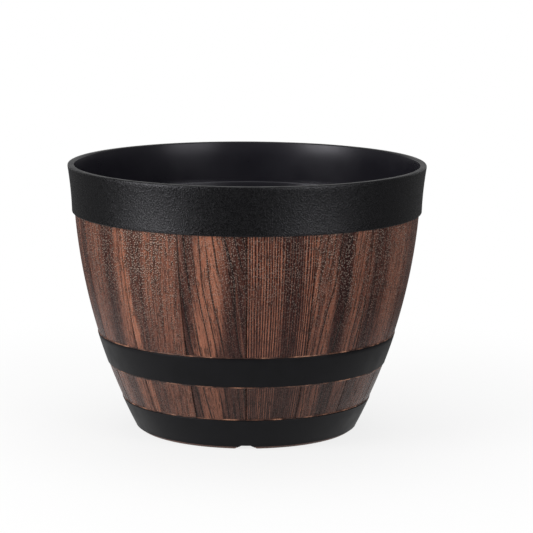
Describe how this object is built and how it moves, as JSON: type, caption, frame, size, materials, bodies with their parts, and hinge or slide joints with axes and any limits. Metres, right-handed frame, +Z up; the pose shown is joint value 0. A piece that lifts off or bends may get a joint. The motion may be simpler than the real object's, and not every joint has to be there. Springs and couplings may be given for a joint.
{
  "type": "barrel planter",
  "caption": "Round half-barrel planter: wood-look moulded shell with black hoops, flared rim collar, lift-out inner pot and a pull-up drain plug.",
  "frame": {"origin": "centre of the foot ring, on the surface that the planter stands on", "axes": "+Z up along the planter's axis; -Y faces the viewer, through a foot notch and a stave joint"},
  "size_m": [0.228, 0.228, 0.17],
  "materials": {
    "wood_look": "moulded wood grain, satin brown",
    "rim_black": "leather-grained black",
    "hoop_black": "smooth matt black",
    "liner_black": "smooth glossy black",
    "plug_rubber": "matt black rubber"
  },
  "bodies": {
    "barrel": {"barrel_shell": "wood_look", "rim_collar": "rim_black", "middle_hoop": "hoop_black", "bottom_hoop": "hoop_black"},
    "liner": {"liner_pot": "liner_black"},
    "plug": {"drain_plug": "plug_rubber"}
  },
  "joints": [
    {"name": "liner_lift", "type": "slide", "parent": "barrel", "child": "liner", "axis": [0, 0, 1], "range_m": [0, 0.16]},
    {"name": "plug_pull", "type": "slide", "parent": "liner", "child": "plug", "axis": [0, 0, 1], "range_m": [0, 0.03]}
  ]
}
